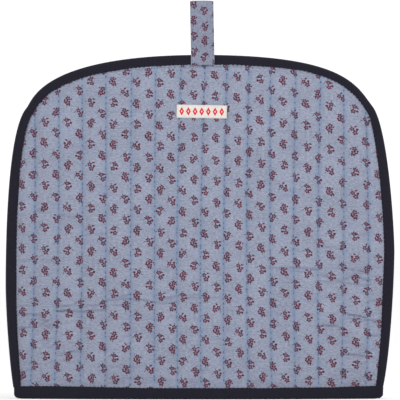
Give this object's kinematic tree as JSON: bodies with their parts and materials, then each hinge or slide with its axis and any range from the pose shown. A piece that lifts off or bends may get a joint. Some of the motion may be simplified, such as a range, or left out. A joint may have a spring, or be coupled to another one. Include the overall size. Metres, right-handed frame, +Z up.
{
  "type": "quilted tea cosy",
  "caption": "Quilted cotton tea cosy with an arched top, taped seam and hem and a hanging loop, standing open on its hem to cover a teapot.",
  "frame": {"origin": "on the table, at the middle of the footprint of the hem", "axes": "+Z up towards the hanging loop, +X along the flat of the cosy, the front with the label faces -Y"},
  "size_m": [0.363, 0.1066, 0.3695],
  "materials": {
    "printed_cotton": "quilted plain-weave cotton, blue-grey ground with small dark red flower sprigs",
    "navy_tape": "folded plain-weave cotton binding, dark navy",
    "cream_tape": "woven label tape, cream"
  },
  "bodies": {
    "root": {"panel_front": "printed_cotton", "panel_back": "printed_cotton", "seam_binding": "navy_tape", "hem_binding": "navy_tape", "hanging_loop": "printed_cotton", "label": "cream_tape"}
  },
  "joints": []
}
